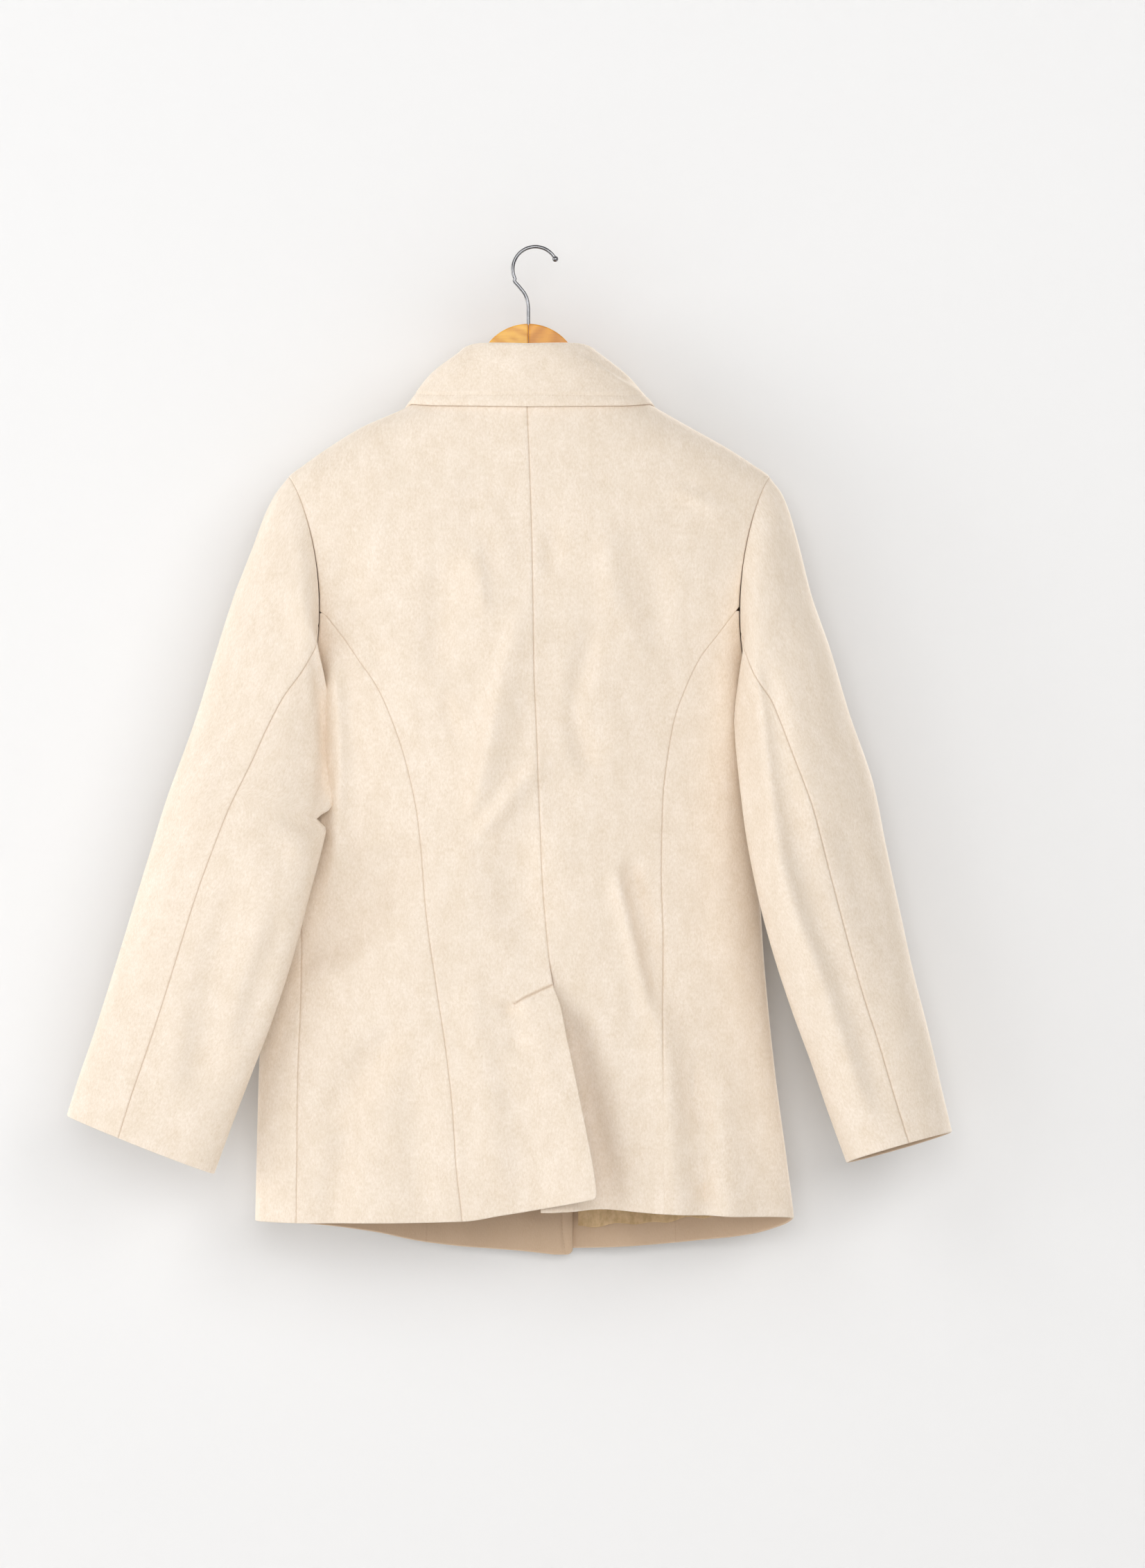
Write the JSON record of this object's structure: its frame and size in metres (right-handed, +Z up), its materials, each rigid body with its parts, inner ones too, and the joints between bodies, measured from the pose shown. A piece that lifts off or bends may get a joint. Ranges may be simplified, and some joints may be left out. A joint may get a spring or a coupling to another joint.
{
  "type": "short coat on a wooden hanger",
  "caption": "Short fitted wool coat with princess seams, turned-down collar, set-in sleeves and a back vent, buttoned in front, hanging on a wooden hanger with a wire hook.",
  "frame": {"origin": "the point of the hook's inner arc that bears on the rail", "axes": "+Z up, -Y towards the coat's back, which the picture shows, +X towards the wearer's right"},
  "size_m": [0.7953, 0.1419, 0.9133],
  "materials": {
    "wool": "brushed cream melton wool with a soft vertical nap",
    "satin": "tan satin lining with a soft sheen",
    "button": "polished brown, horn-like",
    "wood": "clear satin varnish over light honey wood",
    "chrome": "polished plating"
  },
  "bodies": {
    "root": {"back_left": "wool", "back_right": "wool", "back_side_left": "wool", "back_side_right": "wool", "front_side_left": "wool", "front_side_right": "wool", "front_left": "wool", "front_right": "wool", "lining_right": "satin", "top_sleeve_left": "wool", "under_sleeve_left": "wool", "top_sleeve_right": "wool", "under_sleeve_right": "wool", "collar_fall": "wool", "collar_stand": "wool", "button_1": "button", "button_2": "button", "button_3": "button", "button_4": "button", "hanger_left": "wood", "hanger_right": "wood", "hook": "chrome"}
  },
  "joints": []
}
